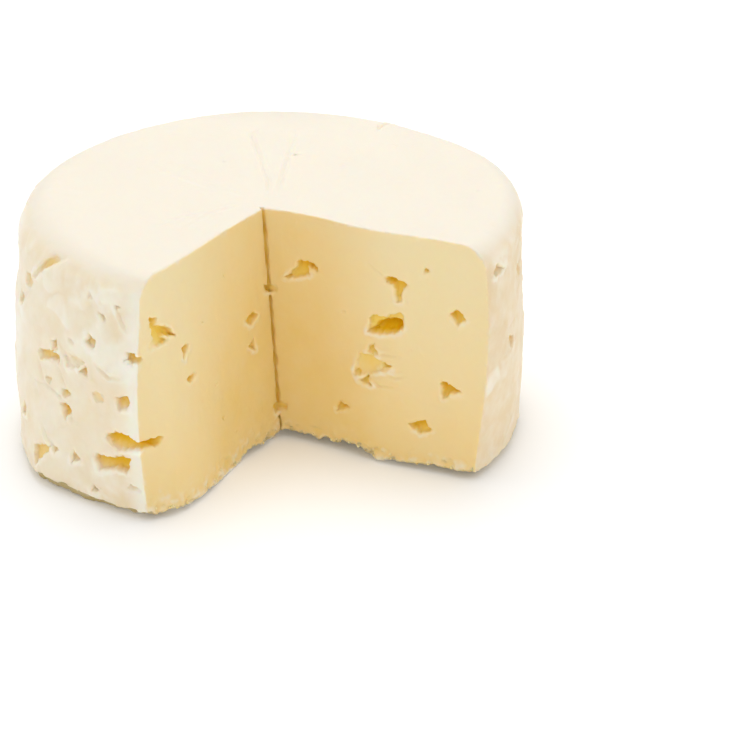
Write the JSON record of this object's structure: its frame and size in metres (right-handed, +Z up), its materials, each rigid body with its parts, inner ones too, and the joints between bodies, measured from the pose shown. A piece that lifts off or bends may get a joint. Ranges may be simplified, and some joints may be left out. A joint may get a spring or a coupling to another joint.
{
  "type": "cheese wheel",
  "caption": "Small round wheel of fresh pressed white cheese with a wedge cut out, flat underside, rounded shoulder and open curd texture.",
  "frame": {"origin": "under the middle of the wheel, level with its flat underside", "axes": "+Z up through the wheel, from the flat underside to the top; the missing wedge is the quarter between +X and -Y"},
  "size_m": [0.1852, 0.1824, 0.0885],
  "materials": {
    "paste": "satin, slightly moist pressed curd, ivory outside and a little yellower where it is cut"
  },
  "bodies": {
    "root": {"cheese_wheel": "paste"}
  },
  "joints": []
}
